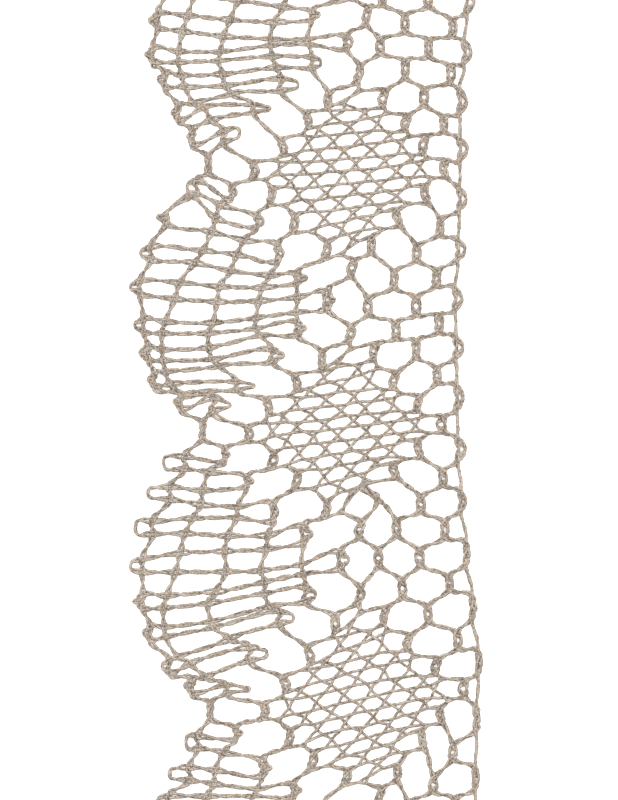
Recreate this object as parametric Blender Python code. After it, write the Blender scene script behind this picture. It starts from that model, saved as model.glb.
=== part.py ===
"""A bobbin lace edging, laid flat: one thin sheet with a scalloped edge and the open cells of its ground.

The lace is planned on a pricking, a slanted grid of pins.  Columns count leftwards from the straight
footside, rows count downwards, and every second crossing of the grid holds a pin.  Each scallop is a fan
that is ten rows high.  Its right-hand pins step out to a point at its crown row and back to the valley.
Half stitch diamonds lie between the points, and everything else is open ground.  The cells of the ground
and the gaps beside the fans are cut through the sheet; the fans and diamonds are close work, and solid.

Frame: X across the lace (footside at +X, scallops at -X), Y along it, Z up.  The origin is the middle of
the underside.  Sizes in the tables are millimetres; MM turns them into metres.
"""

import math
from typing import NamedTuple

import bpy
import numpy as np

MM = 0.001

NAME = "lace"
THICKNESS = 1.0 * MM
CUT_LENGTH = 156.0 * MM          # from one cut end to the other

COLUMN = 4.27 * MM               # from one column of pins to the next
SELVEDGE = 3.75 * MM             # from the footside pins to the first ground column
FOOT_COLUMN = -1
VALLEY_COLUMN = 10
REPEAT = 10                      # rows from one crown to the next
HALF_REPEAT = REPEAT // 2
CROWN_COLUMN = 5                 # column of the pin at a fan's point
DIAMOND_COLUMN = 4               # column of the diamonds' middle
CROWN_BULGE = 2.4 * MM           # how far a fan's point is drawn towards the footside

COLUMN_HALF_WIDTH = 0.8 * MM     # half the width of the stitches around one pin
COLUMN_HALF_HEIGHT = 2.0 * MM    # half their height, with the thread that leaves them
END_STRIP = 1.0 * MM             # closed strip at each cut end
WEB = 0.8 * MM                   # least width of thread between two cells
CELL_POINTS = 14
CELL_ROUNDNESS = 2.3             # exponent of the cells' rounded outline
DRAW_IN = 0.97                   # how much a cell too near another is drawn in at a time

PICOT_HALF_WIDTH = 1.15 * MM
PICOT_NOSE = (0.3 * MM, 0.7 * MM)
KNOT_REACH = 0.75 * MM           # how far the footside knots stand out from their pins
KNOT_HALF_HEIGHT = 1.3 * MM

LINEN = (0.50, 0.41, 0.32, 1.0)


class Settled(NamedTuple):
    """Where one row of the pricking has come to lie: its footside pin and its valley column (mm)."""

    row: float
    foot_x: float
    foot_y: float
    head_x: float
    head_y: float


SETTLED = (
    Settled(row=-20, foot_x=30.0, foot_y=110.0, head_x=-15.5, head_y=113.0),
    Settled(row=-11, foot_x=30.0, foot_y=67.8, head_x=-15.5, head_y=70.6),
    Settled(row=-8, foot_x=28.7, foot_y=54.4, head_x=-16.5, head_y=57.6),
    Settled(row=-5, foot_x=28.8, foot_y=41.2, head_x=-17.8, head_y=43.6),
    Settled(row=-2, foot_x=28.4, foot_y=27.4, head_x=-18.0, head_y=27.4),
    Settled(row=0, foot_x=27.9, foot_y=18.5, head_x=-18.5, head_y=17.9),
    Settled(row=3, foot_x=28.1, foot_y=5.2, head_x=-18.6, head_y=3.6),
    Settled(row=6, foot_x=28.4, foot_y=-8.9, head_x=-19.0, head_y=-10.0),
    Settled(row=9, foot_x=28.8, foot_y=-23.0, head_x=-18.0, head_y=-23.6),
    Settled(row=11, foot_x=29.8, foot_y=-32.7, head_x=-17.6, head_y=-34.7),
    Settled(row=14, foot_x=31.5, foot_y=-47.6, head_x=-17.4, head_y=-51.4),
    Settled(row=16, foot_x=31.1, foot_y=-57.8, head_x=-17.5, head_y=-61.4),
    Settled(row=18, foot_x=30.9, foot_y=-68.7, head_x=-16.5, head_y=-70.9),
    Settled(row=28, foot_x=30.9, foot_y=-118.0, head_x=-16.5, head_y=-122.0),
)


class Slipped(NamedTuple):
    """A pin's stitches that have been pulled aside from the grid (mm to the right and upwards)."""

    column: int
    row: int
    right: float
    up: float


SLIPPED = (
    Slipped(column=4, row=-11, right=1.0, up=0.9),
    Slipped(column=4, row=-9, right=1.2, up=-0.9),
    Slipped(column=2, row=-9, right=1.1, up=0.5),
    Slipped(column=0, row=-9, right=0.9, up=0.0),
    Slipped(column=3, row=-8, right=1.7, up=0.0),
    Slipped(column=2, row=-7, right=1.4, up=0.0),
    Slipped(column=6, row=-7, right=0.8, up=-0.7),
    Slipped(column=7, row=-6, right=0.6, up=-1.3),
    Slipped(column=7, row=-4, right=-1.4, up=-0.3),
    Slipped(column=1, row=-4, right=0.2, up=1.2),
    Slipped(column=6, row=-3, right=-1.2, up=-0.3),
    Slipped(column=4, row=1, right=1.1, up=-0.3),
    Slipped(column=7, row=4, right=-1.3, up=-0.2),
    Slipped(column=7, row=6, right=-0.8, up=-1.4),
    Slipped(column=2, row=7, right=-0.6, up=2.0),
    Slipped(column=3, row=8, right=-1.1, up=1.8),
    Slipped(column=4, row=9, right=1.4, up=0.0),
    Slipped(column=4, row=11, right=0.9, up=-0.9),
    Slipped(column=7, row=14, right=-0.7, up=0.0),
    Slipped(column=0, row=15, right=0.8, up=0.8),
    Slipped(column=1, row=16, right=1.6, up=1.9),
    Slipped(column=2, row=17, right=2.3, up=3.2),
    Slipped(column=3, row=18, right=2.5, up=3.2),
)


class Scallop(NamedTuple):
    """One fan's eight picots, from top to bottom (mm): how far out, how high, and how long each loop is."""

    crown_row: int
    out_x: tuple
    level_y: tuple
    loop: tuple


SCALLOPS = (
    Scallop(
        crown_row=-10,
        out_x=(-21.8, -25.1, -27.3, -28.4, -29.1, -27.1, -24.5, -21.6),
        level_y=(86.7, 81.1, 75.5, 69.6, 63.1, 58.5, 52.7, 47.3),
        loop=(1.8, 1.8, 1.8, 1.7, 1.5, 1.8, 1.5, 1.4),
    ),
    Scallop(
        crown_row=0,
        out_x=(-21.6, -26.0, -30.0, -32.0, -31.1, -30.2, -28.9, -24.0),
        level_y=(39.3, 35.1, 26.9, 20.9, 13.6, 8.5, 3.6, -0.4),
        loop=(1.4, 2.4, 1.6, 1.8, 1.5, 1.5, 1.6, 1.5),
    ),
    Scallop(
        crown_row=10,
        out_x=(-26.0, -28.7, -31.1, -32.0, -31.5, -29.6, -26.2, -22.2),
        level_y=(-10.9, -16.7, -22.7, -29.6, -36.4, -42.4, -48.7, -51.8),
        loop=(4.3, 4.0, 3.6, 2.4, 1.8, 1.7, 1.8, 1.6),
    ),
    Scallop(
        crown_row=20,
        out_x=(-22.0, -25.1, -27.0, -28.2, -28.4, -26.8, -24.6, -21.5),
        level_y=(-61.5, -67.3, -73.0, -78.7, -84.5, -90.0, -95.5, -100.5),
        loop=(2.8, 4.0, 2.2, 1.8, 1.6, 1.6, 1.6, 1.6),
    ),
)


def settled(row):
    """The footside place and the valley column's place of a row, in metres."""
    rows = [entry.row for entry in SETTLED]
    values = [
        np.interp(row, rows, [getattr(entry, name) for entry in SETTLED]) * MM
        for name in ("foot_x", "foot_y", "head_x", "head_y")
    ]
    return np.array(values[:2]), np.array(values[2:])


def steps_from_crown(row):
    """How many rows a row lies from the nearest fan's crown, 0 to 5."""
    beyond = row % REPEAT
    return min(beyond, REPEAT - beyond)


def pin_place(column, row):
    """Where the pin of this column and row has come to lie."""
    foot, head = settled(row)
    if column == FOOT_COLUMN:
        return foot
    reach = SELVEDGE + COLUMN * VALLEY_COLUMN
    place = foot + (head - foot) * (SELVEDGE + COLUMN * column) / reach
    for slip in SLIPPED:
        if (slip.column, slip.row) == (column, row):
            place = place + np.array((slip.right, slip.up)) * MM
    return place


def fan_tip(row):
    """Where the fan's right-hand pin of this row has come to lie, drawn out most at the crown."""
    steps = steps_from_crown(row)
    bulge = CROWN_BULGE * 0.5 ** steps if steps < HALF_REPEAT else 0.0
    return pin_place(CROWN_COLUMN + steps, row) + np.array((bulge, 0.0))


def is_pin(column, row):
    """Whether the grid holds a pin here: on every second crossing, outside the middle of a diamond."""
    if (column + row) % 2 == 0:
        return False
    from_middle = abs(column - DIAMOND_COLUMN) + HALF_REPEAT - steps_from_crown(row)
    return column == FOOT_COLUMN or from_middle >= DIAMOND_COLUMN


def place_beside(column, row):
    """The pin that bounds a cell: the fan's tip where the column lies on it, else the ground pin."""
    if column == CROWN_COLUMN + steps_from_crown(row):
        return fan_tip(row)
    return pin_place(column, row)


def ring(centre, left, right, below, above):
    """A rounded four-sided ring about a centre, reaching to the four points around it."""
    power = 2.0 / CELL_ROUNDNESS
    points = []
    for step in range(CELL_POINTS):
        angle = 2.0 * math.pi * (step + 0.5) / CELL_POINTS
        across = abs(math.cos(angle)) ** power
        along = abs(math.sin(angle)) ** power
        side = right if math.cos(angle) > 0.0 else left
        end = above if math.sin(angle) > 0.0 else below
        points.append(centre + across * (side - centre) + along * (end - centre))
    return points


def cell(column, row):
    """The outline of the open cell between four pins: left, right, above and below."""
    wide = np.array((COLUMN_HALF_WIDTH, 0.0))
    high = np.array((0.0, COLUMN_HALF_HEIGHT))
    left = place_beside(column + 1, row) + wide
    right = place_beside(column - 1, row) - wide
    above = place_beside(column, row - 1) - high
    below = place_beside(column, row + 1) + high
    centre = (left + right + above + below) / 4.0
    return ring(centre, left, right, below, above)


def gap_between(points, others):
    """The least distance from the corners of one outline to the sides of another."""
    starts = np.array(others)
    sides = np.roll(starts, -1, axis=0) - starts
    offsets = np.array(points)[:, None] - starts
    along = np.clip((offsets * sides).sum(axis=2) / (sides * sides).sum(axis=1), 0.0, 1.0)
    return np.linalg.norm(offsets - along[..., None] * sides, axis=2).min()


def drawn_in(points, rings):
    """An outline drawn in about its middle until a web of thread is left to every other outline."""
    middle = np.mean(points, axis=0)
    while any(gap_between(points, other) < WEB or gap_between(other, points) < WEB for other in rings):
        points = [middle + (point - middle) * DRAW_IN for point in points]
    return points


def open_cells():
    """The outlines of all open cells of the ground, and of the gaps between the fans and diamonds."""
    limit = CUT_LENGTH / 2.0 - END_STRIP
    rings = []
    for row in range(int(SETTLED[0].row) + 1, int(SETTLED[-1].row)):
        gap_column = CROWN_COLUMN - 1 + steps_from_crown(row)
        for column in range(gap_column + 1):
            beside = ((column + 1, row), (column - 1, row), (column, row - 1), (column, row + 1))
            if (column + row) % 2 != 0 or not all(is_pin(*place) for place in beside):
                continue
            points = cell(column, row)
            if max(abs(point[1]) for point in points) < limit:
                rings.append(drawn_in(points, rings))
    return rings


def scalloped_edge():
    """The left edge from the top down: every picot's loop, and the valley between two fans."""
    points = []
    for scallop in SCALLOPS:
        for out_x, level_y, loop in zip(scallop.out_x, scallop.level_y, scallop.loop):
            nose = np.array((out_x, level_y)) * MM
            root = loop * MM
            back, half = PICOT_NOSE
            for inward, up in (
                (root, PICOT_HALF_WIDTH),
                (back, half),
                (0.0, 0.0),
                (back, -half),
                (root, -PICOT_HALF_WIDTH),
            ):
                points.append(nose + np.array((inward, up)))
        valley = pin_place(VALLEY_COLUMN, scallop.crown_row + HALF_REPEAT)
        points.append(valley - np.array((COLUMN_HALF_WIDTH, 0.0)))
    return points


def footside_edge():
    """The right edge from the top down: a knot at each footside pin, and the strand between two."""
    points = []
    for row in range(int(SETTLED[0].row), int(SETTLED[-1].row), 2):
        knot = pin_place(FOOT_COLUMN, row)
        strand = (knot + pin_place(FOOT_COLUMN, row + 2)) / 2.0
        points.append(knot + np.array((KNOT_REACH, KNOT_HALF_HEIGHT)))
        points.append(knot + np.array((KNOT_REACH, -KNOT_HALF_HEIGHT)))
        points.append(strand)
    return points


def cut_to_length(edge):
    """An edge kept between the two cut ends, with a point on each cut."""
    half = CUT_LENGTH / 2.0
    rising = sorted(edge, key=lambda point: point[1])
    heights = [point[1] for point in rising]
    across = [point[0] for point in rising]
    inner = [point for point in rising if abs(point[1]) < half - 0.2 * MM]
    lowest = np.array((np.interp(-half, heights, across), -half))
    highest = np.array((np.interp(half, heights, across), half))
    return [lowest, *inner, highest]


def outline():
    """The lace's outer outline, anticlockwise: up the footside and down the scallops."""
    return cut_to_length(footside_edge()) + cut_to_length(scalloped_edge())[::-1]


def add_ring(curve, points):
    """One closed straight-sided spline through the points."""
    spline = curve.splines.new("POLY")
    spline.points.add(len(points) - 1)
    for target, point in zip(spline.points, points):
        target.co = (point[0], point[1], 0.0, 1.0)
    spline.use_cyclic_u = True


def linen():
    """Unbleached linen thread, matt."""
    material = bpy.data.materials.new("linen")
    material.use_nodes = True
    shader = material.node_tree.nodes["Principled BSDF"]
    shader.inputs["Base Color"].default_value = LINEN
    shader.inputs["Roughness"].default_value = 0.9
    shader.inputs["Metallic"].default_value = 0.0
    return material


def lace(collection):
    """The whole edging: a flat outline with its open cells, given its thickness."""
    edge = outline()
    middle = (np.min(edge, axis=0) + np.max(edge, axis=0)) / 2.0
    curve = bpy.data.curves.new(NAME, "CURVE")
    curve.dimensions = "2D"
    curve.fill_mode = "BOTH"
    curve.extrude = THICKNESS / 2.0
    for points in [edge, *open_cells()]:
        add_ring(curve, [point - middle for point in points])
    curve.materials.append(linen())
    piece = bpy.data.objects.new(NAME, curve)
    piece.location = (0.0, 0.0, THICKNESS / 2.0)
    collection.objects.link(piece)
    return piece


def main():
    """Clear the scene and model the lace in its own collection."""
    for item in list(bpy.data.objects):
        bpy.data.objects.remove(item, do_unlink=True)
    collection = bpy.data.collections.new("bobbin_lace_edging")
    bpy.context.scene.collection.children.link(collection)
    lace(collection)


main()
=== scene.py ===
"""A bobbin lace edging, worked thread by thread and laid flat.

The lace is planned on a pricking, a slanted grid of pins, and worked from thirteen pairs of bobbins.  A
pair keeps its position in the row of bobbins, 0 at the scalloped edge to 12 at the straight footside, and
every stitch is worked with two neighbouring pairs.  A whole stitch crosses, twists and crosses again; a
half stitch crosses and twists once.  The order of work gives every crossing of two threads, and which of
them lies on top, so the threads are laid by following them down the lace.

Frame: X across the lace (footside at +X, scallops at -X), Y along it, Z up.  Sizes in the tables and in
the planning are millimetres; MM turns them into metres when the threads are made.
"""

from __future__ import annotations

import logging
import math
from dataclasses import dataclass, field
from enum import Enum
from typing import NamedTuple

import bpy
import numpy as np
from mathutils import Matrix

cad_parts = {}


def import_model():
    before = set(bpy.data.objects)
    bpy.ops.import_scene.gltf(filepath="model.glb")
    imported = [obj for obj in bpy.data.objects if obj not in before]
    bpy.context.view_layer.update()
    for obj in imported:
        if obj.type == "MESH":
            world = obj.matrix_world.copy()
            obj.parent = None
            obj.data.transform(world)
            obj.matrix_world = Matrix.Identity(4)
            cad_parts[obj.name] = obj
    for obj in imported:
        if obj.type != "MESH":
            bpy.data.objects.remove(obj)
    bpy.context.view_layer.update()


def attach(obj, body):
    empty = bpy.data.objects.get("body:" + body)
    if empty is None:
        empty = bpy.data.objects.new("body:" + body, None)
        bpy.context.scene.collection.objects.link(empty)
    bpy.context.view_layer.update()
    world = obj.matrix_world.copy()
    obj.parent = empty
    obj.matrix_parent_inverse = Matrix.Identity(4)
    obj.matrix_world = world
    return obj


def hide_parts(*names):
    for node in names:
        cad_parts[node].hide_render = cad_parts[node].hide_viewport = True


MM = 0.001
LOG = logging.getLogger("lace")


class Settled(NamedTuple):
    """Where one row of the pricking has come to lie: its footside pin and its valley column (mm)."""

    row: float
    foot_x: float
    foot_y: float
    head_x: float
    head_y: float


SETTLED = (
    Settled(-20, 30.0, 110.0, -15.5, 113.0),
    Settled(-11, 30.0, 67.8, -15.5, 70.6),
    Settled(-8, 28.7, 54.4, -16.5, 57.6),
    Settled(-5, 28.8, 41.2, -17.8, 42.9),
    Settled(-2, 28.4, 27.4, -18.0, 27.4),
    Settled(0, 27.9, 18.5, -18.5, 17.9),
    Settled(3, 28.1, 5.2, -18.6, 3.6),
    Settled(6, 28.4, -8.9, -19.0, -10.0),
    Settled(9, 28.8, -23.0, -18.0, -23.6),
    Settled(11, 29.8, -32.7, -17.6, -34.7),
    Settled(14, 31.5, -47.6, -17.4, -51.4),
    Settled(16, 31.1, -57.8, -17.5, -61.4),
    Settled(18, 30.9, -68.7, -16.5, -70.9),
    Settled(28, 30.9, -118.0, -16.5, -122.0),
)


class Slipped(NamedTuple):
    """A pin's stitches that have been pulled aside from the grid (mm)."""

    column: int
    row: int
    right: float
    up: float
    tilt: float = 0.0                # how far the stitch above the pin lies to the right of the pin


SLIPPED = (
    Slipped(0, -11, 0.4, -0.3),
    Slipped(4, -11, 1.3, 0.9),
    Slipped(1, -10, 0.5, 0.2),
    Slipped(0, -9, 0.9, 0.2),
    Slipped(2, -9, 0.9, 0.6),
    Slipped(4, -9, 0.9, -0.9),
    Slipped(1, -8, 0.5, 0.2),
    Slipped(3, -8, 1.3, -0.6),
    Slipped(5, -8, -0.4, -1.4),
    Slipped(2, -7, 1.3, -0.2),
    Slipped(6, -7, 0.6, -0.7),
    Slipped(1, -6, 0.4, 0.5),
    Slipped(7, -6, 0.5, -1.1),
    Slipped(0, -5, -0.2, 0.8),
    Slipped(8, -5, 0.0, -0.8),
    Slipped(1, -4, 0.9, 0.7),
    Slipped(7, -4, -1.2, -0.3),
    Slipped(0, -3, -0.4, -0.5),
    Slipped(2, -3, 0.2, 1.1),
    Slipped(6, -3, -1.2, -0.2),
    Slipped(1, -2, -0.3, -0.6),
    Slipped(3, -2, 0.0, 0.9),
    Slipped(5, -2, 0.5, -0.1),
    Slipped(0, -1, -0.7, -0.7),
    Slipped(2, -1, 0.1, -0.9),
    Slipped(4, -1, 0.9, 1.3),
    Slipped(1, 0, 0.1, -1.2),
    Slipped(3, 0, -0.2, -1.2),
    Slipped(2, 1, 0.7, -1.1),
    Slipped(4, 1, 1.1, -1.5),
    Slipped(3, 2, 0.8, -0.2),
    Slipped(5, 2, 0.0, -1.5),
    Slipped(0, 3, -0.5, -0.5),
    Slipped(2, 3, 0.1, -1.1),
    Slipped(6, 3, -0.2, -0.9),
    Slipped(1, 4, 0.1, -0.8),
    Slipped(7, 4, -1.0, -0.5),
    Slipped(8, 5, 0.0, -0.8),
    Slipped(1, 6, 0.1, 0.3),
    Slipped(7, 6, 0.0, -1.2),
    Slipped(0, 7, 0.2, -0.4),
    Slipped(2, 7, -0.2, 1.1),
    Slipped(6, 7, -0.3, -0.3),
    Slipped(1, 8, 0.3, -0.4),
    Slipped(3, 8, -0.3, 1.8, tilt=-1.3),
    Slipped(5, 8, 0.5, -1.1),
    Slipped(0, 9, 0.2, -0.4),
    Slipped(4, 9, 1.8, -0.1),
    Slipped(1, 10, -0.6, -0.5),
    Slipped(3, 10, 0.6, -0.3),
    Slipped(0, 11, 0.1, -0.3),
    Slipped(2, 11, 0.2, -0.9),
    Slipped(4, 11, 1.4, -1.8),
    Slipped(1, 12, 0.0, -0.7),
    Slipped(3, 12, 0.8, -0.5),
    Slipped(5, 12, 0.8, -1.5),
    Slipped(0, 13, 0.6, -0.7),
    Slipped(2, 13, 0.2, -0.4),
    Slipped(6, 13, 0.4, -1.6),
    Slipped(1, 14, 0.4, 0.0),
    Slipped(7, 14, 0.2, -1.1),
    Slipped(0, 15, 1.1, 0.6),
    Slipped(8, 15, 1.2, -0.7),
    Slipped(1, 16, 1.6, 1.2),
    Slipped(7, 16, 1.2, -1.0),
    Slipped(0, 17, -0.5, -0.4),
    Slipped(2, 17, 2.7, 2.5),
    Slipped(6, 17, 0.7, -0.4),
    Slipped(1, 18, 0.4, -0.7),
    Slipped(3, 18, 2.6, 1.9),
    Slipped(5, 18, 2.2, 1.4),
    Slipped(4, 19, 3.6, 2.7),
)


class Scallop(NamedTuple):
    """One fan, from top to bottom (mm): its eight picots at the left and its nine tips at the right.

    A picot has the place of its loop's outer end, the loop's length, and half the width inside the loop.  A
    tip has the length of the worker's loop, how far that loop's end lies from the pricking's pin, half the
    height between its two stitches, and half the width inside the loop.  The worker makes sixteen bars.
    Each passive pair has the places, across, where the bars cross it.  Each bar but the first and the last
    has its sag, and its sway: how much of a wave it makes, up at the left and down at the right.
    """

    crown_row: int
    out_x: tuple
    level_y: tuple
    loop: tuple
    loop_open: tuple
    tip_loop: tuple
    tip_right: tuple
    tip_up: tuple
    tip_rise: tuple
    tip_open: tuple
    passive_1: tuple
    passive_2: tuple
    passive_3: tuple
    passive_4: tuple
    sag: tuple
    sway: tuple
    tip_turn: tuple = (0.0,) * 9     # how far a tip's loop ends above the middle of its two stitches
    head_right: float = 0.0          # how far the stitch above the second picot lies from its usual place
    head_up: float = 0.0


SCALLOPS = (
    Scallop(
        crown_row=-10,
        out_x=(-22.0, -25.3, -27.6, -28.9, -29.6, -27.3, -24.8, -22.0),
        level_y=(86.7, 81.1, 75.5, 69.1, 62.9, 58.3, 52.3, 47.9),
        loop=(1.8, 1.8, 1.8, 1.6, 1.4, 1.3, 1.2, 1.0),
        loop_open=(0.7, 0.7, 0.7, 0.5, 0.4, 0.6, 0.5, 0.4),
        tip_loop=(1.2, 1.2, 1.2, 1.8, 1.4, 1.9, 3.5, 3.5, 3.2),
        tip_right=(0.3, 0.3, 0.3, 0.4, 1.3, 1.3, 2.3, 2.1, 1.2),
        tip_up=(0.5, 0.5, 0.5, 0.5, 0.2, 0.6, 0.7, 0.9, 1.0),
        tip_rise=(0.9, 0.9, 0.9, 0.75, 1.05, 0.95, 1.1, 0.7, 1.05),
        tip_open=(0.7, 0.7, 0.7, 0.4, 0.9, 0.8, 0.75, 0.35, 1.05),
        passive_1=(
            -15, -16, -17.2, -18.6, -20.2, -21.5, -22.4,
            -23.2, -23.2, -22.7, -22, -20.5, -18.7, -17.2,
        ),
        passive_2=(-9.5, -10.8, -12.3, -13.8, -15.0, -15.6, -15.9, -15.2, -14.8, -13.5),
        passive_3=(-4.2, -5.8, -6.6, -6.5, -6.2, -5.4),
        passive_4=(0.2, 0.5),
        sag=(0, 0, 0, 0, 0.1, -0.6, -1.2, 0, 0, -0.2, -0.6, 0.8, 1.4, 1.0),
        sway=(0, 0, 0, 0, 0, 0.3, 0, -0.75, -0.4, -0.5, 0, -0.3, 0, 0),
        tip_turn=(0, 0, 0, 0, 0, 0, 0, 0, 0.7),
    ),
    Scallop(
        crown_row=0,
        out_x=(-22.0, -27.2, -30.4, -32.3, -31.5, -30.6, -29.2, -24.4),
        level_y=(38.8, 33.4, 26.8, 20.6, 13.7, 8.6, 3.8, -0.2),
        loop=(1.8, 1.4, 1.8, 1.8, 1.6, 1.6, 1.3, 1.3),
        loop_open=(1.0, 0.4, 0.75, 0.7, 0.7, 0.6, 0.45, 0.5),
        tip_loop=(1.2, 1.5, 1.4, 2.3, 1.8, 2.0, 2.5, 3.6, 3.6),
        tip_right=(1.1, 1.6, 0.8, 0.5, 0.3, 0.6, 1.4, 0.7, 0.9),
        tip_up=(0.2, 0.1, -0.6, -0.5, 0.1, -0.3, -0.5, -1.2, 0.0),
        tip_rise=(0.9, 1.0, 1.35, 0.9, 1.4, 1.1, 1.1, 0.75, 1.3),
        tip_open=(0.7, 0.8, 0.8, 0.4, 0.45, 0.4, 0.45, 0.35, 0.5),
        passive_1=(
            -15.5, -16.4, -17.2, -18.8, -20.3, -23, -23.9,
            -25.6, -26.2, -26.2, -26, -25.6, -24.6, -22.3,
        ),
        passive_2=(-11.3, -12.6, -13.8, -15.7, -16.2, -17.0, -17.8, -17.7, -17.1, -15.8),
        passive_3=(-6.6, -8.0, -8.6, -9.1, -9.2, -8.3),
        passive_4=(-1.6, -1.8),
        sag=(-0.4, -1.9, 0, 0.35, -0.5, -0.75, -1.6, -1.3, -1.0, -0.6, -0.9, 0.2, 0.3, 0.5),
        sway=(0, 0, 0.2, 0, 0.6, 0.35, 0, -0.3, -0.1, -0.8, 0, 0, 0, 0),
        head_right=4.6,
        head_up=2.6,
    ),
    Scallop(
        crown_row=10,
        out_x=(-26.3, -29.1, -31.4, -32.3, -31.8, -30.0, -26.6, -22.5),
        level_y=(-11.3, -16.8, -23.1, -30.0, -36.5, -42.2, -48.3, -51.9),
        loop=(3.9, 4.0, 3.2, 2.2, 1.8, 1.3, 1.5, 1.4),
        loop_open=(1.3, 0.95, 1.4, 0.95, 0.3, 0.6, 0.7, 0.5),
        tip_loop=(1.2, 1.5, 1.2, 1.9, 1.8, 2.1, 3.0, 3.6, 4.6),
        tip_right=(0.9, 0.4, 0.0, 1.0, 1.8, 1.0, 1.8, 1.5, 2.8),
        tip_up=(0.0, -0.3, -1.4, -0.9, -0.4, -1.3, 0.1, -0.8, -1.4),
        tip_rise=(0.9, 0.8, 1.3, 1.4, 1.4, 1.25, 1.15, 1.2, 0.8),
        tip_open=(0.45, 0.4, 0.8, 0.6, 0.8, 0.8, 0.8, 0.8, 0.35),
        passive_1=(
            -17.7, -18.8, -19.2, -20.6, -22, -22.9, -23.8,
            -25.3, -25.9, -25.8, -25.5, -23.3, -21.2, -18.3,
        ),
        passive_2=(-12.4, -12.7, -14.2, -14.8, -14.7, -16.4, -17.8, -17.3, -16.8, -13.9),
        passive_3=(-6.9, -7.3, -8.2, -7.6, -7.6, -6.6),
        passive_4=(-0.9, -0.5),
        sag=(0, -0.75, -0.75, 0.5, -1.0, -0.1, -1.7, -1.0, -0.5, -0.5, -0.4, 0.3, 0.6, -0.5),
        sway=(0, 0, 0, 0, 0.5, 0.5, 0.4, -0.4, -0.3, -0.6, 0, 0, 0, 0),
    ),
    Scallop(
        crown_row=20,
        out_x=(-22.2, -25.2, -27.4, -28.2, -28.4, -26.8, -24.6, -21.5),
        level_y=(-62.1, -67.8, -73.0, -78.7, -84.5, -90.0, -95.5, -100.5),
        loop=(2.2, 3.6, 2.2, 1.8, 1.6, 1.6, 1.6, 1.6),
        loop_open=(1.35, 0.95, 0.95, 0.8, 0.7, 0.7, 0.7, 0.7),
        tip_loop=(1.5, 2.0, 1.8, 1.2, 1.4, 1.8, 2.4, 3.0, 3.6),
        tip_right=(1.6, 1.9, 2.3, 1.5, 1.5, 1.5, 1.5, 1.5, 1.5),
        tip_up=(0.6, -1.2, -0.6, 0.0, 0.0, 0.0, 0.0, 0.0, 0.0),
        tip_rise=(0.9, 1.3, 1.0, 1.0, 1.0, 1.0, 1.0, 1.0, 1.0),
        tip_open=(0.4, 0.4, 0.4, 0.7, 0.7, 0.7, 0.7, 0.7, 0.7),
        passive_1=(
            -15, -16.5, -16.9, -18, -19.2, -20.4, -21.2,
            -21.8, -22, -21.8, -21.2, -20.4, -19.2, -17.6,
        ),
        passive_2=(-9.0, -9.6, -11.0, -12.5, -13.5, -14.0, -14.2, -14.0, -13.5, -12.5),
        passive_3=(-3.5, -4.6, -5.4, -5.6, -5.4, -4.6),
        passive_4=(1.0, 1.2),
        sag=(0.2, 0, -0.9, 0, -0.5, -0.5, -1, -1, -0.5, -0.5, -0.5, 0, 0, 0),
        sway=(0, 0, 0.2, 0, 0, 0, 0, 0, 0, 0, 0, 0, 0, 0),
    ),
)


@dataclass
class Pricking:
    """The grid of pins that the lace is worked on, as it has come to lie.

    Columns count leftwards from the footside, rows count downwards.
    """

    column_width: float = 4.27
    selvedge: float = 3.75           # from the footside pins to the first ground column
    crown_bulge: float = 2.4         # how far a fan's point is drawn to the right, half as far a row on
    foot_column: int = -1
    valley_column: int = 10
    crown_column: int = 5
    diamond_column: int = 4
    repeat: int = 10                 # rows from one crown to the next
    middle: float = 0.125            # of the lace, across, in the pricking's own frame

    @property
    def half_repeat(self) -> int:
        """Rows from a crown to the valley beside it."""
        return self.repeat // 2

    def settled(self, row: float) -> tuple[np.ndarray, np.ndarray]:
        """Where a row has come to lie.

        Args:
            row: the row, or a place between two rows.

        Returns:
            The places of its footside pin and of its valley column.
        """
        rows, *places = zip(*SETTLED)
        values = [np.interp(row, rows, place) for place in places]
        return np.array(values[:2]), np.array(values[2:])

    def steps_from_crown(self, row: int) -> int:
        """How many rows a row lies from the nearest fan's crown."""
        beyond = row % self.repeat
        return min(beyond, self.repeat - beyond)

    def pin(self, column: int, row: int) -> np.ndarray:
        """Where a pin has come to lie.

        Args:
            column: the pin's column.
            row: the pin's row.

        Returns:
            Its place, or where it would be on the grid.
        """
        foot, head = self.settled(row)
        if column == self.foot_column:
            return foot
        reach = self.selvedge + self.column_width * self.valley_column
        place = foot + (head - foot) * (self.selvedge + self.column_width * column) / reach
        for slip in SLIPPED:
            if (slip.column, slip.row) == (column, row):
                place = place + np.array((slip.right, slip.up))
        return place

    def tilt(self, column: int, row: int) -> float:
        """How far the stitch above this pin lies to the right of it."""
        return sum(slip.tilt for slip in SLIPPED if (slip.column, slip.row) == (column, row))

    def tip(self, row: int) -> np.ndarray:
        """Where a fan's right-hand pin has come to lie, drawn out most at the crown.

        Args:
            row: the pin's row.

        Returns:
            Its place, before the fan's own table moves it.
        """
        steps = self.steps_from_crown(row)
        bulge = self.crown_bulge * 0.5**steps if steps < self.half_repeat else 0.0
        return self.pin(self.crown_column + steps, row) + np.array((bulge, 0.0))

    def is_ground_pin(self, column: int, row: int) -> bool:
        """Whether the ground, a diamond's side or the footside has a pin here.

        Args:
            column: the column of a crossing of the grid.
            row: its row.

        Returns:
            Whether it has a pin.
        """
        if (column + row) % 2 == 0:
            return False
        if column == self.foot_column:
            return True
        steps = self.steps_from_crown(row)
        from_middle = abs(column - self.diamond_column) + self.half_repeat - steps
        return column < self.crown_column + steps and from_middle >= self.diamond_column


class Kind(Enum):
    """The two stitches that the lace is made of."""

    WHOLE = "cross, twist, cross"
    HALF = "cross, twist"


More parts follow.
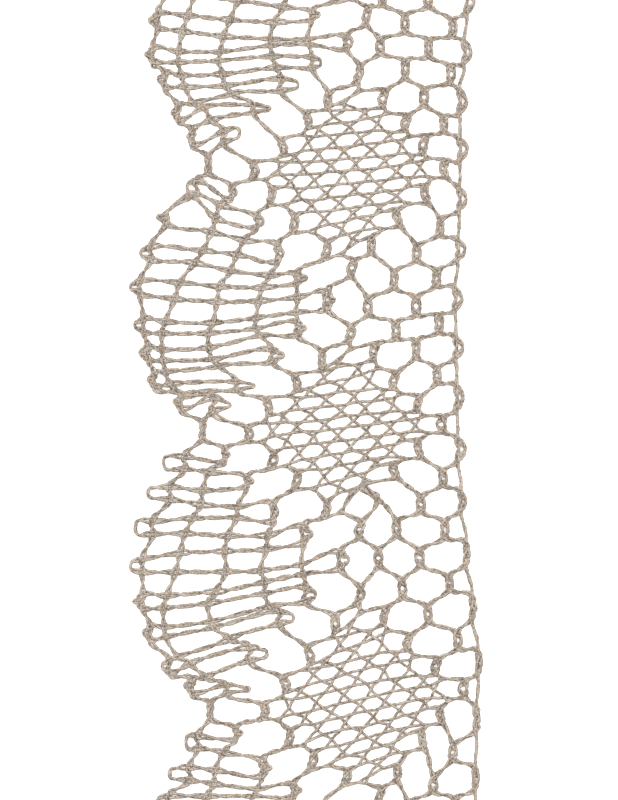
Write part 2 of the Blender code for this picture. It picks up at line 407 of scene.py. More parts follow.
@dataclass
class Stitch:
    """One stitch with the pairs at positions left and left + 1.

    route_left and route_right are the waypoints that the outgoing pairs go round on their way to their
    next stitches, where they don't go straight.
    """

    kind: Kind
    left: int
    when: float
    region: str
    place: np.ndarray | None = None
    leans: tuple[np.ndarray, np.ndarray] | None = None
    spread: float = 0.6
    route_left: tuple[np.ndarray, ...] = ()
    route_right: tuple[np.ndarray, ...] = ()
    before: dict[int, Stitch] = field(default_factory=dict)
    after: dict[int, Stitch] = field(default_factory=dict)


DOWN_RIGHT, DOWN_LEFT = np.array((0.69, -0.72)), np.array((-0.69, -0.72))
STEEP_RIGHT, STEEP_LEFT = np.array((0.12, -0.99)), np.array((-0.12, -0.99))


@dataclass
class OrderOfWork:
    """Every stitch of the edging, in the order in which it is worked.

    The pin of a column c is worked with the pairs at positions 10 - c and 11 - c.
    """

    pricking: Pricking
    pairs: int = 13
    first_row: int = -19
    last_row: int = 23
    pin_rise: float = 1.2            # from a pin up to the whole stitch above it, and down to the next
    pin_spread: float = 0.6          # between the threads of a whole stitch beside a pin
    pin_hole: float = 0.58           # from a pin to the pairs that pass on either side of it
    valley_hole: float = 0.3         # the same in the tight valley between two fans
    foot_rise: float = 1.9           # from a footside pin up and down to its stitches
    foot_hole: float = 0.42          # from a footside pin out to the pair that passes round it
    foot_inner: float = 0.72         # and in to the pair on its other side, in the drawn in rows
    foot_arc: tuple = (0.42, 1.0)    # how far the outer pair has come in, this far above and below the pin
    drawn_in: tuple = (0.92, 0.3)    # how far the footside's stitches lie inside their pins, above and below
    drawn_rows: tuple = (6.0, 10.0)  # these two rows, between which that changes
    unevenness: float = 0.25         # of the pins' holes and rises
    seed: int = 3
    moment: float = 0.01             # of a row, from the stitch above a pin to the one below it
    way_right: tuple = (0.05, 0.45)  # when, in its row, a diamond's worker starts and ends to the right
    way_left: tuple = (0.55, 0.95)   # and to the left
    late: float = 0.5                # when, in its row, that worker reaches a right-hand side pin
    bar_starts: tuple = (0.1, 0.55)  # when, in its row, a fan's worker leaves a tip, and then a picot
    bar_pace: float = 0.08           # of a row, from one of a bar's stitches to the next
    bar_spread: float = 0.77         # between the threads where a pair crosses the worker of a fan
    picot_rise: float = 1.15         # half the height between the two stitches beside a picot
    picot_root: float = 0.3          # from the inner end of a picot's loop to those stitches
    head_turn: tuple = (2.0, 1.1)    # from a head picot's outer end to where the edge pair turns
    # waypoints of a worker's loop: how far in from its outer end, and how far up, of half its width
    loop_shape: tuple = ((1.25, 1.0), (0.6, 0.78), (0.35, 0.0), (0.6, -0.78), (1.25, -1.0))
    random: np.random.Generator = field(init=False)
    stitches: list[Stitch] = field(default_factory=list)

    def plan(self) -> list[Stitch]:
        """Plan the whole strip.

        Returns:
            The stitches in working order, each linked to those before and after it.
        """
        self.stitches = []
        self.random = np.random.default_rng(self.seed)
        for row in range(self.first_row, self.last_row + 1):
            self._ground_row(row)
        for scallop in SCALLOPS:
            self._diamond(scallop.crown_row - self.pricking.half_repeat)
        self._diamond(SCALLOPS[-1].crown_row + self.pricking.half_repeat)
        for scallop in SCALLOPS:
            self._fan(scallop)
        self.stitches.sort(key=lambda stitch: stitch.when)
        self._link()
        return self.stitches

    def _position(self, column: int) -> int:
        """The left one of the two pair positions that work a column's pins."""
        return self.pricking.valley_column - column

    def _pinned(self, place: np.ndarray, left: int, when: float, region: str, tilt: float = 0.0) -> None:
        """Work a whole stitch above a pin, and a whole stitch below it.

        Args:
            place: where the pin stands.
            left: position of the left one of the two pairs.
            when: when the stitches are worked, counted in rows.
            region: the region that they belong to.
            tilt: how far the upper one lies to the right of the pin.
        """
        foot = region == "footside"
        hole = self.foot_hole if foot else self.valley_hole if region.startswith("fan") else self.pin_hole
        uneven = 1.0 + self.unevenness * self.random.uniform(-1.0, 1.0, size=2)
        rise = np.array((tilt, (self.foot_rise if foot else self.pin_rise) * uneven[0] ** 0.5))
        aside = np.array((hole * uneven[1], 0.0))
        inner, outer = (place - aside,), (place + aside,)
        if foot:
            back, up = self.foot_arc
            outer = tuple(outer[0] + np.array(step) for step in ((-back, up), (0.0, 0.0), (-back, -up)))
            inner = (place - np.array((np.interp(when, self.drawn_rows, (self.foot_inner, hole)), 0.0)),)
            place = place - np.array((np.interp(when, self.drawn_rows, self.drawn_in), 0.0))
        above = Stitch(Kind.WHOLE, left, when, region, place + rise, spread=self.pin_spread)
        below = Stitch(Kind.WHOLE, left, when + self.moment, region, place - rise, spread=self.pin_spread)
        above.route_left, above.route_right = inner, outer
        if foot:
            above.leans, below.leans = (DOWN_RIGHT, STEEP_LEFT), (STEEP_RIGHT, DOWN_LEFT)
        self.stitches += [above, below]

    def _ground_row(self, row: int) -> None:
        """Work the pins of one row in the ground, on the diamonds' sides and in the footside.

        Args:
            row: the row.
        """
        grid = self.pricking
        for column in range(grid.foot_column, grid.valley_column):
            if grid.is_ground_pin(column, row):
                self._pinned(
                    place=grid.pin(column, row),
                    left=self._position(column),
                    when=float(row) + self.late * self._is_right_side(column, row),
                    region="footside" if column == grid.foot_column else "ground",
                    tilt=grid.tilt(column, row),
                )

    def _is_right_side(self, column: int, row: int) -> bool:
        """Whether a pin waits for a diamond's worker, which reaches it half a row late.

        Args:
            column: the pin's column.
            row: the pin's row.

        Returns:
            Whether it lies on the right-hand side of a diamond.
        """
        grid = self.pricking
        steps = grid.steps_from_crown(row)
        return grid.foot_column < column < grid.diamond_column and (
            grid.diamond_column - column == steps - 1
        )

    def _diamond(self, middle: int) -> None:
        """Work the half stitches of one diamond, to and fro between its side pins.

        Args:
            middle: the row of the diamond's middle.
        """
        name = f"diamond_{middle}"
        half = self.pricking.diamond_column
        centre = self._position(half)
        for step in range(1, 2 * half):
            reach, following = (min(rows, 2 * half - rows) for rows in (step, step + 1))
            row = middle - half + step
            rightwards = range(centre - reach + 1, centre + reach)
            leftwards = range(centre + reach - 1, centre - following, -1)
            self._half_row(rightwards, row, self.way_right, name)
            self._half_row(leftwards, row, self.way_left, name)

    def _half_row(self, positions: range, row: int, times: tuple[float, float], region: str) -> None:
        """Work one row of half stitches.

        Args:
            positions: the pair positions, in the order in which the worker reaches them.
            row: the row.
            times: when, in its row, the worker starts and ends.
            region: the diamond's name.
        """
        start, stop = row + times[0], row + times[1]
        for count, left in enumerate(positions):
            when = start + (stop - start) * count / len(positions)
            self.stitches.append(Stitch(Kind.HALF, left, when, region))

    def _fan(self, scallop: Scallop) -> None:
        """Work one fan, whose worker goes to and fro between the tips and the picots.

        Args:
            scallop: the fan.
        """
        grid = self.pricking
        name = f"fan_{scallop.crown_row}"
        valley = scallop.crown_row - grid.half_repeat
        self._pinned(grid.pin(grid.valley_column, valley), 0, float(valley), name)
        picots = len(scallop.out_x)
        for index in range(picots):
            self._tip(scallop, index, name)
            for back in (False, True):
                self._bar(scallop, index, back, name)
        self._tip(scallop, picots, name)

    def _tip_row(self, scallop: Scallop, index: int) -> int:
        """The row of the fan's tip with this number."""
        return scallop.crown_row + index - self.pricking.half_repeat + 1

    def _tip_position(self, scallop: Scallop, index: int) -> int:
        """The left one of the two pair positions that meet at this tip."""
        return self.pricking.crown_column - abs(self._tip_row(scallop, index) - scallop.crown_row)

    def _tip_places(self, scallop: Scallop, index: int) -> tuple[np.ndarray, np.ndarray]:
        """The middle between a tip's two stitches, and the outer end of its loop.

        Args:
            scallop: the fan.
            index: number of the tip.

        Returns:
            The two places.
        """
        nose = self.pricking.tip(self._tip_row(scallop, index))
        nose = nose + np.array((scallop.tip_right[index], scallop.tip_up[index]))
        return nose - np.array((scallop.tip_loop[index], scallop.tip_turn[index])), nose

    def _tip(self, scallop: Scallop, index: int, name: str) -> None:
        """Work a fan's right-hand pin: a pair joins or leaves, and the worker's loop goes round the pin.

        Args:
            scallop: the fan.
            index: number of the tip.
            name: the fan's name.
        """
        left, row = self._tip_position(scallop, index), self._tip_row(scallop, index)
        root, nose = self._tip_places(scallop, index)
        rise = np.array((0.0, scallop.tip_rise[index]))
        above = Stitch(Kind.WHOLE, left, float(row), name, place=root + rise, spread=self.bar_spread)
        above.route_right = self._loop(nose, 1.0, scallop.tip_open[index])
        below = Stitch(Kind.WHOLE, left, row + self.moment, name, place=root - rise, spread=self.bar_spread)
        self.stitches += [above, below]

    def _bar(self, scallop: Scallop, index: int, back: bool, name: str) -> None:
        """Work the worker's way from a tip to a picot, or back from the picot to the next tip.

        Args:
            scallop: the fan.
            index: number of the picot.
            back: whether the worker comes back from the picot.
            name: the fan's name.
        """
        tip, _ = self._tip_places(scallop, index + back)
        tip += np.array((0.0, scallop.tip_rise[index + back] * (1.0 if back else -1.0)))
        nose = np.array((scallop.out_x[index], scallop.level_y[index]))
        picot = nose + np.array((scallop.loop[index] + self.picot_root, 0.0))
        picot += np.array((0.0, -self.picot_rise if back else self.picot_rise))
        head = index == 1 and not back
        if head:
            picot += np.array((scallop.head_right, scallop.head_up))
        started = self._tip_row(scallop, index) + self.bar_starts[back]
        reach = range(self._tip_position(scallop, index + back))
        for count, left in enumerate(reach if back else reversed(reach)):
            place = self._crossing(scallop, 2 * index + back, left, picot, tip) if left else picot
            when = started + self.bar_pace * count
            stitch = Stitch(Kind.WHOLE, left, when, name, place, spread=self.bar_spread)
            if left == 0 and not back:
                stitch.route_left = self._loop(nose, -1.0, scallop.loop_open[index])
                if head and scallop.head_right:
                    stitch.route_right = (nose + np.array(self.head_turn),)
            self.stitches.append(stitch)

    def _crossing(
        self, scallop: Scallop, bar: int, left: int, picot: np.ndarray, tip: np.ndarray
    ) -> np.ndarray:
        """Where a bar crosses a passive pair.

        Args:
            scallop: the fan.
            bar: number of the bar.
            left: the passive pair's position.
            picot: the bar's end at the picot.
            tip: its end at the tip.

        Returns:
            The place.
        """
        passives = (scallop.passive_1, scallop.passive_2, scallop.passive_3, scallop.passive_4)
        across = passives[left - 1][bar - 2 * left + 1]
        share = (across - picot[0]) / (tip[0] - picot[0])
        sag = scallop.sag[bar - 1] * 4.0 * share * (1.0 - share)
        sag += scallop.sway[bar - 1] * math.sin(2.0 * math.pi * share)
        return picot + share * (tip - picot) + np.array((0.0, sag))

    def _loop(self, nose: np.ndarray, side: float, half: float) -> tuple[np.ndarray, ...]:
        """The waypoints of a worker's loop whose outer end is at nose; side is 1 at the right."""
        return tuple(nose + np.array((-side * inward, up * half)) for inward, up in self.loop_shape)

    def _link(self) -> None:
        """Tell every stitch which stitches its two pairs come from and go to."""
        latest: dict[int, Stitch] = {}
        for stitch in self.stitches:
            for position in (stitch.left, stitch.left + 1):
                if position in latest:
                    stitch.before[position] = latest[position]
                    latest[position].after[position] = stitch
                latest[position] = stitch


def unit(vector: np.ndarray) -> np.ndarray:
    """A vector scaled to length one."""
    return vector / max(float(np.linalg.norm(vector)), 1e-9)


def opened(
    right: np.ndarray, left: np.ndarray, most: float, least: float = 32.0, blunt: float = 0.05
) -> tuple[np.ndarray, np.ndarray]:
    """Two crossing directions, turned apart or together where they would run along each other.

    Args:
        right: direction of the pair that crosses to the right.
        left: direction of the pair that crosses to the left.
        most: the greatest half angle between them, in degrees.
        least: the least half angle between them.
        blunt: the length below which their sum or difference no longer shows a direction.

    Returns:
        The two directions, turned.
    """
    along, across = right + left, right - left
    if np.linalg.norm(along) < blunt:
        along = np.array((across[1], -across[0]))
    if np.linalg.norm(across) < blunt:
        across = np.array((-along[1], along[0]))
    half = math.atan2(float(np.linalg.norm(across)), float(np.linalg.norm(along)))
    half = min(max(half, math.radians(least)), math.radians(most))
    along, across = unit(along) * math.cos(half), unit(across) * math.sin(half)
    return along + across, along - across


@dataclass
class Tension:
    """The pull of the pairs, which moves and leans every stitch along the pairs that cross in it."""

    sideways: float = 0.14           # of the way towards its neighbours that a pin's stitch is drawn aside
    furthest: float = 0.5            # that it is drawn aside
    closeness: float = 0.32          # of a stitch's spread, to the distance to its nearest neighbour
    smallest: float = 0.45           # spread of a stitch
    lonely: float = 9.0              # distance to the nearest neighbour, where there is none
    widest: float = 58.0             # half the angle, in degrees, at which two pairs cross, at most
    widest_pinned: float = 48.0      # the same beside a pin of the ground

    def settle(self, stitches: list[Stitch]) -> None:
        """Draw the pins' stitches aside, then size and lean every whole stitch.

        Args:
            stitches: all stitches of the lace.
        """
        whole = [stitch for stitch in stitches if stitch.kind is Kind.WHOLE]
        shifts = [self._aside(stitch) if stitch.region == "ground" else 0.0 for stitch in whole]
        for stitch, shift in zip(whole, shifts):
            stitch.place = stitch.place + np.array((shift, 0.0))
        for stitch in whole:
            if stitch.region.startswith("fan"):
                near = [other.place for other in (*stitch.before.values(), *stitch.after.values())]
                apart = [float(np.linalg.norm(place - stitch.place)) for place in near if place is not None]
                nearest = min(apart, default=self.lonely)
                stitch.spread = min(stitch.spread, max(self.smallest, self.closeness * nearest))
            if stitch.leans is None:
                stitch.leans = self._leans(stitch)

    def _aside(self, stitch: Stitch) -> float:
        """How far a pin's stitch is drawn aside by the pairs that come to it or leave it.

        Args:
            stitch: a stitch above or below a pin.

        Returns:
            The distance, to the right.
        """
        links = stitch.after if not stitch.route_left else stitch.before
        places = [other.place[0] for other in links.values() if other.place is not None]
        if not places:
            return 0.0
        pull = self.sideways * (sum(places) / len(places) - stitch.place[0])
        return min(max(pull, -self.furthest), self.furthest)

    def _leans(self, stitch: Stitch) -> tuple[np.ndarray, np.ndarray]:
        """The directions in which a whole stitch's two pairs cross.

        Args:
            stitch: the stitch.

        Returns:
            The directions of the pair that crosses to the right, and of the one that crosses to the left.
        """
        left, right = stitch.left, stitch.left + 1
        directions = (
            self._direction(stitch, left, right, stitch.route_right, DOWN_RIGHT),
            self._direction(stitch, right, left, stitch.route_left, DOWN_LEFT),
        )
        return opened(*directions, self.widest_pinned if stitch.region == "ground" else self.widest)

    def _direction(
        self, stitch: Stitch, start: int, end: int, route: tuple[np.ndarray, ...], usual: np.ndarray
    ) -> np.ndarray:
        """The direction in which one pair crosses a stitch.

        Args:
            stitch: the stitch.
            start: the position at which the pair enters it.
            end: the position at which it leaves.
            route: the waypoints that it goes round afterwards.
            usual: its direction where it comes from nowhere or goes nowhere.

        Returns:
            The direction.
        """
        before, after = stitch.before.get(start), stitch.after.get(end)
        came = usual
        if before is not None and before.place is not None:
            turns = before.route_left if start == before.left else before.route_right
            came = unit(stitch.place - (turns[-1] if turns else before.place))
        goes = usual
        if route:
            goes = unit(route[0] - stitch.place)
        elif after is not None and after.place is not None:
            goes = unit(after.place - stitch.place)
        return unit(came + goes)


@dataclass
class Spot:
    """A place that one or two threads pass through; place is None until the threads have settled."""

    region: str
    place: np.ndarray | None = None
    stitch: int = -1                 # number of the stitch it belongs to
    pulled: float = 0.0              # how much thinner the thread is pulled here


@dataclass
class Thread:
    """One thread: the spots it passes through from top to bottom, and its height at each."""

    spots: list[Spot] = field(default_factory=list)
    heights: list[float] = field(default_factory=list)

    def goes_through(self, spot: Spot, height: float) -> None:
        """Lead the thread on through a spot."""
        self.spots.append(spot)
        self.heights.append(height)


class Way:
    """The middle line of a pair on its way from one stitch to the next."""

    probe = 0.05                     # how far before and after a place its direction is read

    def __init__(self, points: np.ndarray) -> None:
        """Measure the line.

        Args:
            points: closely spaced places on the line.
        """
        self.points = points
        self.reached = np.concatenate(([0.0], np.cumsum(np.linalg.norm(np.diff(points, axis=0), axis=1))))
        self.length = float(self.reached[-1])

    def at(self, along: float) -> np.ndarray:
        """The place this far along the line."""
        return np.array([np.interp(along, self.reached, self.points[:, axis]) for axis in (0, 1)])

    def aside(self, along: float) -> np.ndarray:
        """The direction square to the line, this far along it."""
        heading = unit(self.at(along + self.probe) - self.at(along - self.probe))
        return np.array((heading[1], -heading[0]))


@dataclass
class Bobbins:
    """The threads in the order in which they hang, and the two moves a lace maker makes with them."""

    order: OrderOfWork
    lift: float = 0.2                # how far a thread rises or sinks where it crosses another
    ply_gap: float = 0.17            # how far each thread of a twisted pair lies from the pair's middle
    loop_gap: float = 0.06           # the same where the pair goes round a pin
    edge_gap: float = 0.1            # the same in the tight outer pair of the footside
    edge_pull: float = 0.28          # how much thinner that pair is pulled
    loop_pull: float = 0.16          # how much thinner a pair round a pin is pulled
    net_pull: float = 0.34           # how much thinner the single threads of the half stitches are pulled
    bar_pitch: float = 4.2           # length of twisted pair to one twist, in the fans
    leg_pitch: float = 3.0           # the same in the ground
    flare: float = 1.15              # the more, the more suddenly a pair widens towards its stitches
    flatness: float = 0.7            # the less, the longer the two threads lie side by side
    step: float = 0.4                # between the spots along a twisted pair
    fan_bend: float = 0.7            # the less, the straighter a pair lies between its stitches
    leg_bend: float = 1.0
    stub: float = 0.75               # of a stitch's spread, from its middle to where its pairs may bend
    loosest: float = 1.35            # the widest of the uneven gaps, of the usual one
    seed: int = 11
    random: np.random.Generator = field(init=False)
    threads: list[Thread] = field(init=False)
    hanging: list[Thread] = field(init=False)

    def work(self, stitches: list[Stitch]) -> list[Thread]:
        """Work all stitches in turn.

        Args:
            stitches: all stitches, in working order.

        Returns:
            The threads, each with its spots; those in half stitches have no place yet.
        """
        self.random = np.random.default_rng(self.seed)
        self.threads = [Thread() for _ in range(2 * self.order.pairs)]
        self.hanging = list(self.threads)
        for number, stitch in enumerate(stitches):
            for position in (stitch.left, stitch.left + 1):
                if position in stitch.before:
                    self._bring(stitch.before[position], stitch, position)
            self._stitch(number, stitch)
        return self.threads

    def _pass(self, slot: int, spot: Spot, left_over: bool) -> None:
        """Let two neighbouring threads change places.

        Args:
            slot: how many threads hang to the left of the two.
            spot: where they cross.
            left_over: whether the left one passes over the right one.
        """
        left, right = self.hanging[slot], self.hanging[slot + 1]
        height = self.lift if left_over else -self.lift
        left.goes_through(spot, height)
        right.goes_through(spot, -height)
        self.hanging[slot], self.hanging[slot + 1] = right, left

    def _stitch(self, number: int, stitch: Stitch) -> None:
        """Cross, twist and, in a whole stitch, cross again.

        Args:
            number: the stitch's number in working order.
            stitch: the stitch.
        """
        first = 2 * stitch.left
        places: list[np.ndarray | None] = [None] * 4
        if stitch.kind is Kind.WHOLE:
            right, left = (lean * stitch.spread / 2.0 for lean in stitch.leans)
            middle = stitch.place
            before, after = middle - right, middle + right
            places = [before - left, before + left, after - left, after + left]
        pulled = self.net_pull if stitch.kind is Kind.HALF else 0.0
        spots = [Spot(stitch.region, place, number, pulled) for place in places]
        self._pass(first + 1, spots[0], left_over=True)
        self._pass(first, spots[1], left_over=False)
        self._pass(first + 2, spots[2], left_over=False)
        if stitch.kind is Kind.WHOLE:
            self._pass(first + 1, spots[3], left_over=True)

    def _bring(self, start: Stitch, end: Stitch, position: int) -> None:
        """Lead a pair from one stitch to its next.

        Args:
            start: the stitch that it comes from.
            end: the stitch that it goes to.
            position: the pair's position.
        """
        if start.kind is Kind.HALF:
            return
        if end.kind is Kind.HALF:
            spot = Spot(start.region, pulled=self.net_pull)
            self._pass(2 * position, spot, left_over=False)
            return
        gap = self.ply_gap * (1.0 + (self.loosest - 1.0) * self.random.random() ** 2)
        pulled = 0.0
        looped = bool(start.route_left if position == start.left else start.route_right)
        outermost = position == self.order.pairs - 1 and not looped
        if outermost:
            gap, pulled = self.edge_gap, self.edge_pull
        elif looped and start.region != "footside":
            gap, pulled = self.loop_gap, self.loop_pull
        self._twist(start, end, position, gap, pulled, outermost)

    def _twist(
        self, start: Stitch, end: Stitch, position: int, gap: float, pulled: float, outermost: bool
    ) -> None:
        """Twist a pair on its way between two whole stitches.

        Args:
            start: the stitch that it comes from.
            end: the stitch that it goes to.
            position: the pair's position.
            gap: how far each thread lies from the pair's middle.
            pulled: how much thinner the threads are pulled.
            outermost: whether this is the footside's tight outer pair, which stays narrow at its stitches.
        """
        way = Way(self._path(start, end, position))
        pitch = self.bar_pitch if start.region.startswith("fan") else self.leg_pitch
        turns = max(1, round(way.length / pitch))
        count = max(2, round(way.length / self.step))
        slot = 2 * position
        left, right = self.hanging[slot], self.hanging[slot + 1]
        for share in (np.arange(count) + 0.5) / count:
            near = start if share < 0.5 else end
            turned = math.pi * turns * share
            width = math.cos(turned)
            width *= math.sqrt((1.0 + self.flatness) / (width**2 + self.flatness))
            ends = gap if outermost else 0.5 * near.spread
            flare = abs(2.0 * share - 1.0) ** self.flare
            aside = way.aside(share * way.length) * width * (gap + (ends - gap) * flare)
            middle = way.at(share * way.length)
            height = self.lift * math.sin(turned) * math.sqrt(max(1.0 - width * width, 0.0))
            left.goes_through(Spot(near.region, middle + aside, pulled=pulled), -height)
            right.goes_through(Spot(near.region, middle - aside, pulled=pulled), height)
        if turns % 2 == 1:
            self.hanging[slot], self.hanging[slot + 1] = right, left

    def _path(self, start: Stitch, end: Stitch, position: int) -> np.ndarray:
        """The middle line of a pair between two whole stitches.

        Args:
            start: the stitch that it comes from.
            end: the stitch that it goes to.
            position: the pair's position.

        Returns:
            Closely spaced places on the line.
        """
        leaves_left = position == start.left
        enters_left = position == end.left
        out = start.leans[1] if leaves_left else start.leans[0]
        into = end.leans[0] if enters_left else end.leans[1]
        route = start.route_left if leaves_left else start.route_right
        first = start.place + out * start.spread * self.stub
        last = end.place - into * end.spread * self.stub
        bend = self.fan_bend if start.region.startswith("fan") else self.leg_bend
        return smooth(np.array([first, *route, last]), out, into, bend)


def curve(share: np.ndarray, ends: tuple, tangents: tuple, reach: float | np.ndarray) -> np.ndarray:
    """Places on a smooth curve.

    Args:
        share: how far along the curve each of them lies, from 0 to 1.
        ends: where it starts and ends.
        tangents: its directions there.
        reach: its length.

    Returns:
        The places.
    """
    return (
        (2 * share**3 - 3 * share**2 + 1) * ends[0]
        + (share**3 - 2 * share**2 + share) * tangents[0] * reach
        + (3 * share**2 - 2 * share**3) * ends[1]
        + (share**3 - share**2) * tangents[1] * reach
    )


def smooth(
    points: np.ndarray, out: np.ndarray, into: np.ndarray, bend: float, fineness: int = 12
) -> np.ndarray:
    """A smooth line through points, with the given directions at its two ends.

    Args:
        points: the places that the line passes through.
        out: its direction at the first.
        into: its direction at the last.
        bend: the less, the straighter the line lies between its points and the sooner it turns at its ends.
        fineness: how many steps it takes from one point to the next.

    Returns:
        Closely spaced places on the line.
    """
    steps = np.linalg.norm(np.diff(points, axis=0), axis=1)
    tangents = np.empty_like(points)
    tangents[0], tangents[-1] = out * bend, into * bend
    for index in range(1, len(points) - 1):
        tangents[index] = unit(points[index + 1] - points[index - 1])
    share = np.arange(fineness)[:, None] / fineness
    line = [
        curve(share, points[index : index + 2], tangents[index : index + 2], reach)
        for index, reach in enumerate(steps)
    ]
    return np.concatenate([*line, points[-1:]])


@dataclass
class HalfStitchNet:
    """The open net of single threads in the diamonds, which settles where all of its pulls balance."""

    knot_pull: float = 1.2           # between the two crossings of one half stitch
    link_pull: float = 1.0           # between one stitch and the next
    twist_pull: float = 2.2          # of a twist that follows or comes before a whole stitch
    unevenness: float = 0.2          # of all pulls
    slightest_pull: float = 1e-9     # keeps a spot in place that nothing else holds
    seed: int = 17

    def settle(self, threads: list[Thread]) -> None:
        """Place every spot that has no place yet.

        Args:
            threads: all threads, of which some spots have no place yet.
        """
        random = np.random.default_rng(self.seed)
        free: dict[int, int] = {}
        spots: list[Spot] = []
        for thread in threads:
            for spot in thread.spots:
                if spot.place is None and id(spot) not in free:
                    free[id(spot)] = len(spots)
                    spots.append(spot)
        matrix = np.eye(len(spots)) * self.slightest_pull
        pulls = np.zeros((len(spots), 2))
        for thread in threads:
            for spot, other in zip(thread.spots, thread.spots[1:]):
                pull = self._pull(spot, other) * math.exp(self.unevenness * random.normal())
                for one, two in ((spot, other), (other, spot)):
                    if id(one) not in free:
                        continue
                    row = free[id(one)]
                    matrix[row, row] += pull
                    if id(two) in free:
                        matrix[row, free[id(two)]] -= pull
                    else:
                        pulls[row] += pull * two.place
        for spot, place in zip(spots, np.linalg.solve(matrix, pulls)):
            spot.place = place

    def _pull(self, spot: Spot, other: Spot) -> float:
        """How hard a thread pulls between two of its spots that follow each other.

        Args:
            spot: the first of them.
            other: the second.

        Returns:
            The pull.
        """
        if min(spot.stitch, other.stitch) < 0:
            return self.twist_pull
        return self.knot_pull if spot.stitch == other.stitch else self.link_pull


def wander(length: float, spacing: float, random: np.random.Generator, at: np.ndarray) -> np.ndarray:
    """A smooth random line of spread one, read at the given distances along a thread.

    Args:
        length: the thread's whole length.
        spacing: between one random value and the next.
        random: where the values come from.
        at: the distances.

    Returns:
        The line's value at each distance.
    """
    spare = 3
    values = random.normal(size=int(length / spacing) + spare)
    place = at / spacing
    low = place.astype(int)
    share = place - low
    share = share * share * (3.0 - 2.0 * share)
    return values[low] * (1.0 - share) + values[low + 1] * share


@dataclass(frozen=True)
class Run:
    """A stretch of one thread inside one region: points, swelling, and distance along the thread (mm)."""

    region: str
    points: np.ndarray
    swell: np.ndarray
    along: np.ndarray


@dataclass
class Linen:
    """The linen thread itself, spun a little unevenly, and cut off at the ends of the strip."""

    shift: float                     # from the pricking's frame to the lace's own, across
    half_length: float = 78.0        # of the strip
    diameter: float = 0.54
    sample: float = 0.27             # between the points of the finished thread
    middle_height: float = 0.5       # of the lace above the floor
    swelling: float = 0.09           # how much thicker and thinner it gets, of its thickness
    swell_spacing: float = 1.4       # from one thick or thin place to the next
    stray: float = 0.045             # how far it strays from its smooth line
    stray_spacing: float = 0.9       # from one such place to the next
    pull_reach: int = 7              # how many points of the thread a pull is spread over
    swell_limits: tuple = (0.6, 1.4)  # the thinnest and the thickest, of its thickness
    crowded: float = 0.05            # a spot nearer than this to the one before is left out
    between: float = 100.0           # from one thread to the next, in the distances that the finish reads
    seed: int = 23

    def spin(self, threads: list[Thread]) -> list[Run]:
        """Run smooth linen through every thread's spots.

        Args:
            threads: the settled threads.

        Returns:
            The runs, each inside one region; a run starts where the one before it stops.
        """
        random = np.random.default_rng(self.seed)
        runs: list[Run] = []
        start = 0.0
        for thread in threads:
            points, owners, pulled, along = self._line(thread)
            length = float(along[-1])
            for axis in (0, 1):
                points[:, axis] += self.stray * wander(length, self.stray_spacing, random, along)
            swell = 1.0 + self.swelling * wander(length, self.swell_spacing, random, along)
            pull = np.convolve(pulled, np.ones(self.pull_reach) / self.pull_reach, mode="same")
            swell = np.clip(swell - pull, *self.swell_limits)
            points += np.array((self.shift, 0.0, self.middle_height))
            points[:, 2] = np.maximum(points[:, 2], 0.5 * self.diameter * swell)
            runs += self._cut(points, swell, along + start, owners)
            start += length + self.between
        return runs

    def _line(self, thread: Thread) -> tuple[np.ndarray, list[str], np.ndarray, np.ndarray]:
        """The smooth line of one thread.

        Args:
            thread: the thread.

        Returns:
            Its points, and for each of them the region, the pull and the distance along the thread.
        """
        knots = np.array([(*spot.place, height) for spot, height in zip(thread.spots, thread.heights)])
        apart = np.linalg.norm(np.diff(knots[:, :2], axis=0), axis=1)
        kept = np.concatenate(([True], apart > self.crowded))
        knots = knots[kept]
        spots = [spot for spot, keep in zip(thread.spots, kept) if keep]
        apart = np.linalg.norm(np.diff(knots[:, :2], axis=0), axis=1)
        pace = np.sqrt(apart)[:, None]
        slopes = np.diff(knots, axis=0) / pace
        tangents = np.empty_like(knots)
        tangents[0], tangents[-1] = slopes[0], slopes[-1]
        tangents[1:-1] = (slopes[:-1] * pace[1:] + slopes[1:] * pace[:-1]) / (pace[:-1] + pace[1:])
        reached = np.concatenate(([0.0], np.cumsum(apart)))
        along = np.arange(0.0, reached[-1], self.sample)
        step = np.clip(np.searchsorted(reached, along, side="right") - 1, 0, len(apart) - 1)
        share = ((along - reached[step]) / apart[step])[:, None]
        ends, directions = ((part[step], part[step + 1]) for part in (knots, tangents))
        points = curve(share, ends, directions, pace[step])
        nearest = step + (share[:, 0] > 0.5)
        pulled = np.array([spots[index].pulled for index in nearest])
        return points, [spots[index].region for index in nearest], pulled, along

    def _cut(self, points: np.ndarray, swell: np.ndarray, along: np.ndarray, owners: list[str]) -> list[Run]:
        """Cut one thread where it leaves the strip, and where it passes into another region.

        Args:
            points: the thread's points.
            swell: how thick it is at each.
            along: the distance along it, at each.
            owners: the region of each.

        Returns:
            The runs.
        """
        inside = np.abs(points[:, 1]) <= self.half_length
        runs: list[Run] = []
        first = 0
        for index in range(1, len(points) + 1):
            ends = index == len(points)
            if not ends and owners[index] == owners[first] and inside[index] == inside[first]:
                continue
            last = index if ends or not inside[index] else index + 1
            if inside[first] and last - first > 1:
                part = slice(first, last)
                runs.append(Run(owners[first], points[part], swell[part], along[part]))
            first = index
        return runs


